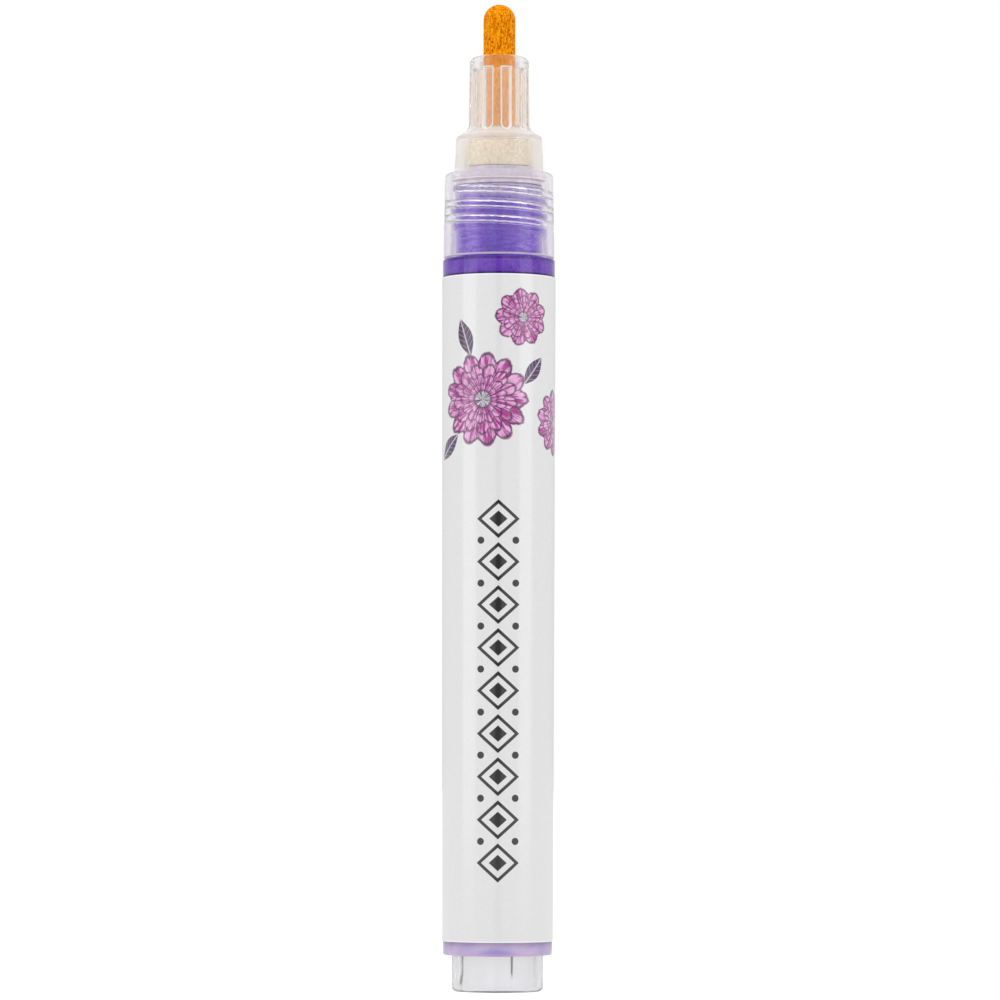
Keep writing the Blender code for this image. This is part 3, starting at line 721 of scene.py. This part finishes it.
# Valve
# A moulded cage with a plunger, a perforated disc and a rubber washer. The kept solids get their finishes
# here, stained by the ink they sit in.
def stained_plastic(name, clean, stain):
    """Natural moulding with cloudy stains."""
    material, wire = new_finish(name, Roughness=0.4)
    place = place_of(wire)
    colour = noise(place, 0.7, 4.0).above(0.4, 0.65).blend(clean, stain)
    feed(material, Base_Color=colour, Normal=bump(noise(place, 4.0), 0.3, 0.01))
    return material


cage_finish = stained_plastic("valve_cage_plastic", tone(214, 208, 222), tone(180, 170, 202))
finish_node("valve_housing", cage_finish)
finish_node("spring_retainer", cage_finish)
finish_node("valve_stem", stained_plastic("valve_stem_plastic", tone(238, 238, 238), tone(214, 206, 226)))
finish_node("valve_seal", stained_plastic("black_seal_rubber", tone(48, 47, 50), tone(36, 35, 38)))

# Valve spring
# A coil of drawn steel wire between the retainer and the stem's disc. It shortens as the nib is pressed, and
# then pushes the stem back up.
SPRING_WIRE = 0.45
SPRING_TURNS = 5.25
TURN_POINTS = 40
WIRE_SIDES = 10

spring_radius, spring_foot, spring_top = high_and_low("valve_spring")
# The wire's middle is a helix: x = r cos a, y = r sin a, and z rises evenly with a. Its section is a circle
# in the outward and upward directions, and closes to a point at both ends.
coil_radius = spring_radius - SPRING_WIRE / 2
coil_angle = np.linspace(0, math.tau * SPRING_TURNS, round(SPRING_TURNS * TURN_POINTS) + 1)
coil_angle = np.concatenate((coil_angle[:1], coil_angle, coil_angle[-1:]))
coil_rise = (spring_top - spring_foot - SPRING_WIRE) / (math.tau * SPRING_TURNS)
outward = np.stack((np.cos(coil_angle), np.sin(coil_angle), 0 * coil_angle), axis=-1)
onward = np.stack((
    -coil_radius * np.sin(coil_angle), coil_radius * np.cos(coil_angle), coil_rise + 0 * coil_angle,
), axis=-1)
upward = np.cross(outward, onward) / math.hypot(coil_radius, coil_rise)
coil_middle = coil_radius * outward
coil_middle[:, 2] = spring_foot + SPRING_WIRE / 2 + coil_rise * coil_angle
wire_radius = np.full((coil_angle.size, 1), SPRING_WIRE / 2)
wire_radius[[0, -1]] = 0
wire_angle = np.linspace(0, math.tau, WIRE_SIDES + 1)[:, None, None]
spring_grid = coil_middle + wire_radius * (np.cos(wire_angle) * outward + np.sin(wire_angle) * upward)
spring = piece("steel_spring", spring_grid, steel("drawn_spring_steel", 6.0), "nose_unit", "valve_spring")
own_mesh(spring)

# Neck gasket
# A flat ring of translucent rubber, cut from sheet. The nose cone squeezes it on the neck's rim, which seals
# the ink in.
GASKET_EDGE = 0.08

gasket_radius, gasket_foot, gasket_top = high_and_low("neck_gasket")
gasket_profile = np.vstack((
    corner(gasket_radius - GASKET_EDGE, gasket_foot + GASKET_EDGE, GASKET_EDGE, -90, 0, 4),
    corner(gasket_radius - GASKET_EDGE, gasket_top - GASKET_EDGE, GASKET_EDGE, 0, 90, 4),
    corner(NECK_BORE + GASKET_EDGE, gasket_top - GASKET_EDGE, GASKET_EDGE, 90, 180, 4),
    corner(NECK_BORE + GASKET_EDGE, gasket_foot + GASKET_EDGE, GASKET_EDGE, 180, 270, 4),
))
gasket_finish = stained_plastic("lilac_gasket_rubber", tone(222, 212, 216), tone(198, 188, 200))
piece("soft_gasket", turned(gasket_profile, 128), gasket_finish, "nose_unit", "neck_gasket")

# Nose cone
# One milky moulding: a flange under the collar's lip, the sponge's cup, a concave flare, and a stem with ten
# flutes and a plain grip ring at its mouth. The mould left its flutes with frosted edges.
CUP_RADIUS = 5.6
CUP_TOP_RADIUS = 5.36
CUP_BORE = 4.6
CUP_CEILING = 106.0
CUP_CORNER = 0.2
CUP_HAZE = 0.6
FLANGE_RADIUS = 5.9
FLANGE_TOP = 101.25
FLARE_TOP = 108.2
FLARE_DROP = 1.9
FLARE_REACH = 2.9
FLARE_SWEEP = 60
STEM_RADIUS = 3.8
STEM_TOP_RADIUS = 3.72
STEM_EDGE = 0.9
NIB_BORE = 2.05
AIR_BORE = 2.55
GRIP_FOOT = 114.9
WEB_TOP = 107.4
FLUTES = 10
FLUTE_ANGLE = math.radians(-76.5)
FLUTE_WIDTH = 1.05
FLUTE_FLOOR = 3.25
FLUTE_FOOT = 107.3
FLUTE_MARGIN = 0.5
FLUTE_SOFTNESS = 0.06
FLUTE_COLUMNS = ((-18, -10, 4), (-10, -6, 12), (-6, 6, 8), (6, 10, 12), (10, 18, 4))
EDGE_MIDDLE, EDGE_REACH = -0.09, 0.16
EDGE_FROST = 0.95
FLOOR_FROST = 0.18
FLOOR_RISE = 0.08

_, nose_foot, nose_top = high_and_low("nose_cone")
flare_angle = np.radians(np.linspace(FLARE_SWEEP, 0, 46))
flare = np.column_stack((
    STEM_RADIUS + FLARE_REACH * (1 - np.cos(flare_angle)), FLARE_TOP - FLARE_DROP * np.sin(flare_angle),
))
nose_profile = np.vstack((
    [(FLANGE_RADIUS, nose_foot), (FLANGE_RADIUS, FLANGE_TOP), (CUP_RADIUS, FLANGE_TOP)],
    corner(CUP_TOP_RADIUS - CUP_CORNER, flare[0, 1] - CUP_CORNER, CUP_CORNER, 0, 70, 5),
    flare,
    run((STEM_RADIUS, FLARE_TOP + 0.3), (STEM_TOP_RADIUS, GRIP_FOOT - 0.2), 0.5),
    run((STEM_TOP_RADIUS, GRIP_FOOT - 0.2), (STEM_TOP_RADIUS, GRIP_FOOT + 0.2), 0.03),
    corner(STEM_TOP_RADIUS - STEM_EDGE, nose_top - STEM_EDGE, STEM_EDGE, 0, 90, 12),
    [(NIB_BORE, nose_top), (NIB_BORE, GRIP_FOOT), (AIR_BORE, GRIP_FOOT), (AIR_BORE, WEB_TOP)],
    [(NIB_BORE, WEB_TOP), (NIB_BORE, CUP_CEILING), (CUP_BORE, CUP_CEILING), (CUP_BORE, nose_foot)],
))
sector = np.radians(np.concatenate([
    np.linspace(start, end, count, endpoint=False) for start, end, count in FLUTE_COLUMNS
]))
nose_columns = (FLUTE_ANGLE + math.tau * np.arange(FLUTES)[:, None] / FLUTES + sector).ravel()
nose_columns = np.append(nose_columns, nose_columns[0] + math.tau)
nose_grid = turned(nose_profile, nose_columns)
nose_radii = np.hypot(nose_grid[..., 0], nose_grid[..., 1])
# Depth inside a flute is half its width less the distance from its middle line, round at its foot and ended
# by the grip ring. Where that is above 0, the wall's radius falls to the flutes' floor.
from_flute = np.tile(np.append(np.tile(sector, FLUTES), sector[0]), (nose_grid.shape[0], 1))
half = FLUTE_WIDTH / 2
below = np.minimum(nose_grid[..., 2] - (FLUTE_FOOT + half), 0)
inside = np.minimum(half - np.hypot(nose_radii * np.sin(from_flute), below), GRIP_FOOT - nose_grid[..., 2])
outside = (nose_radii > FLUTE_FLOOR) & (nose_grid[..., 2] > FLUTE_FOOT - FLUTE_MARGIN)
inside = np.where(outside, inside, -1.0)
cut = eased(-FLUTE_SOFTNESS, FLUTE_SOFTNESS, inside) * (np.minimum(nose_radii, FLUTE_FLOOR) - nose_radii)

cup_haze = side_haze(0.12, 0.45, (
    (nose_foot + 0.3, 0), (nose_foot + 0.9, CUP_HAZE), (CUP_CEILING, CUP_HAZE), (CUP_CEILING + 0.2, 0),
))


def nose_frost(wire):
    """The frost of the cup's sides, and of the flutes: strong on their edges and slight on their floors."""
    depth = along(wire.node("UVMap", {"uv_map": "flat"}), 0)
    edges = depth.near(EDGE_MIDDLE, EDGE_REACH).above(0, 0.5) * EDGE_FROST
    floors = depth.above(0, FLOOR_RISE) * FLOOR_FROST
    return wire.math("MAXIMUM", wire.math("MAXIMUM", edges, floors), cup_haze(wire))


def stem_tint(wire, colour):
    """A trace of orange in the stem below its grip ring, deeper on the flutes' floors."""
    depth = along(wire.node("UVMap", {"uv_map": "flat"}), 0)
    stem = graded(along(place_of(wire), 2), (
        (WEB_TOP, 0), (WEB_TOP + 0.4, 1), (GRIP_FOOT - 0.1, 1), (GRIP_FOOT + 0.1, 0),
    ))
    colour = stem.blend(colour, tone(253, 246, 239))
    return depth.above(0, FLOOR_RISE).blend(colour, tone(248, 231, 214))


nose_finish = clear_plastic(
    "milky_nose_plastic", tone(252, 250, 250), tone(247, 245, 246),
    blur=(
        (nose_foot, 0.05), (CUP_CEILING, 0.05), (WEB_TOP, 0.16), (GRIP_FOOT - 0.1, 0.16), (GRIP_FOOT, 0.12),
    ),
    veil=(
        (nose_foot, 0.85), (nose_foot + 0.08, 0.85), (nose_foot + 0.14, 0.1), (nose_foot + 0.6, 0.12),
        (nose_foot + 0.9, 0.16), (CUP_CEILING - 0.2, 0.18), (CUP_CEILING + 0.2, 0.5), (WEB_TOP - 0.1, 0.5),
        (WEB_TOP + 0.2, 0.08), (GRIP_FOOT - 0.05, 0.06), (GRIP_FOOT + 0.05, 0), (nose_top - 0.15, 0),
        (nose_top, 0.3),
    ),
    milk=tone(243, 240, 237), frost=nose_frost, tint=stem_tint,
)
piece("milky_nose_cone", with_radius(nose_grid, nose_radii + cut), nose_finish, "nose_unit", "nose_cone",
      np.stack((inside, 0 * inside), axis=-1))

# Buffer sponge
# A ring of bonded cream fibre with bright flecks. It is pushed up into the nose cone's cup, fills it, and
# feeds the nib.
SPONGE_BORE = 2.3
SPONGE_EDGE = 0.1

sponge_radius, sponge_foot, sponge_top = high_and_low("buffer_sponge")
sponge_profile = np.vstack((
    corner(sponge_radius - SPONGE_EDGE, sponge_foot, SPONGE_EDGE, -90, 0, 4),
    corner(sponge_radius - SPONGE_EDGE, sponge_top - SPONGE_EDGE, SPONGE_EDGE, 0, 90, 4),
    [(SPONGE_BORE, sponge_top), (SPONGE_BORE, sponge_foot - SPONGE_EDGE)],
))
sponge_finish, wire = new_finish("cream_sponge_fibre", Roughness=0.9)
place = place_of(wire)
grain = noise(place, 4.8, 2.0, 0.7)
colour = grain.above(0.38, 0.50).blend(tone(200, 182, 146), tone(217, 203, 176))
colour = grain.above(0.54, 0.57).blend(colour, tone(250, 240, 202))
feed(sponge_finish, Base_Color=colour, Normal=bump(grain, 0.6, 0.06))
piece("fibre_sponge", turned(sponge_profile, 96), sponge_finish, "nose_unit", "buffer_sponge")

# Nib
# A round rod of bonded fibre soaked with orange. Its ends are ground to domes, half circles in profile, and
# it is held by friction in the grip ring.
nib_radius, nib_tail, nib_tip = high_and_low("nib")
nib_profile = np.vstack((
    corner(0, nib_tail + nib_radius, nib_radius, -90, 0, 14),
    run((nib_radius, nib_tail + nib_radius), (nib_radius, nib_tip - nib_radius), 1.0)[1:],
    corner(0, nib_tip - nib_radius, nib_radius, 0, 90, 14),
))
nib_profile[[0, -1], 0] = 0
nib_finish, wire = new_finish("orange_nib_fibre", Roughness=0.9, Specular_IOR_Level=0.05)
place = place_of(wire)
strand = noise(stretched(place, 1.0, 0.4), 4.6, 4.0, 0.75)
speck = noise(stretched(place, 1.0, 0.6), 4.8, 2.0, 0.6)
colour = strand.above(0.42, 0.58).blend(tone(222, 118, 0), tone(252, 172, 20))
colour = speck.above(0.53, 0.64).blend(colour, tone(176, 70, 0))
height = along(place, 2)
# Painted shade: within the grip ring the nib is darker.
grip_shade = strand.above(0.40, 0.60).blend(tone(198, 114, 0), tone(234, 150, 8))
colour = (1 - height.above(nose_top - 0.3, nose_top)).blend(colour, grip_shade)
# Painted haze of scattered light: below the grip ring, inside the milky stem, the nib is paler and greyer.
stem_haze = strand.above(0.40, 0.60).blend(tone(194, 122, 22), tone(228, 162, 54))
colour = (1 - height.above(GRIP_FOOT - 0.2, GRIP_FOOT)).blend(colour, stem_haze)
feed(nib_finish, Base_Color=colour, Normal=bump(strand + speck * 0.5, 0.5, 0.03))
piece("felt_nib", turned(nib_profile, 128, closed=False), nib_finish, "nib", "nib")

# Screw collar
# A clear moulded sleeve, a little milky, with an internal thread. Its lip clamps the nose cone's flange on
# the neck.
COLLAR_TOP_RADIUS = 6.75
COLLAR_BORE = 6.15
COLLAR_EDGE = 0.5
COLLAR_FOOT_EDGE = 0.15
LIP_BORE = 5.8
LIP_FOOT = 101.45
SKIRT_TOP = 94.8
THREAD_ZONE = 96.0

collar_radius, collar_foot, collar_top = high_and_low("screw_collar")
collar_profile = np.vstack((
    corner(collar_radius - COLLAR_FOOT_EDGE, collar_foot + COLLAR_FOOT_EDGE, COLLAR_FOOT_EDGE, -90, 0, 4),
    corner(COLLAR_TOP_RADIUS - COLLAR_EDGE, collar_top - COLLAR_EDGE, COLLAR_EDGE, 0, 90, 10),
    [(LIP_BORE, collar_top), (LIP_BORE, LIP_FOOT)],
    run((COLLAR_BORE, LIP_FOOT), (COLLAR_BORE, collar_foot), THREAD_STEP),
    [(COLLAR_BORE, collar_foot)],
))
collar_grid = turned(collar_profile)
collar_radii = np.hypot(collar_grid[..., 0], collar_grid[..., 1])
in_sleeve = (np.abs(collar_radii - COLLAR_BORE) < ON_WALL) & (collar_grid[..., 2] < LIP_FOOT - 0.05)
collar_radii = collar_radii - in_sleeve * thread_rise(collar_grid, THREAD_TOP)
collar_finish = clear_plastic(
    "milky_collar_plastic", tone(250, 249, 252), tone(245, 243, 249),
    blur=((collar_foot, 0.02), (collar_top, 0.03)),
    veil=(
        (collar_foot, 0.6), (collar_foot + 0.12, 0.6), (collar_foot + 0.22, 0), (LIP_FOOT - 0.5, 0.02),
        (collar_top, 0.12),
    ),
    milk=tone(249, 243, 249),
    frost=side_haze(0.3, 0.7, (
        (collar_foot, 0.85), (SKIRT_TOP, 0.8), (THREAD_ZONE, 0.2), (collar_top, 0.25),
    )),
)
piece("clear_collar", with_radius(collar_grid, collar_radii), collar_finish, "screw_collar", "screw_collar")
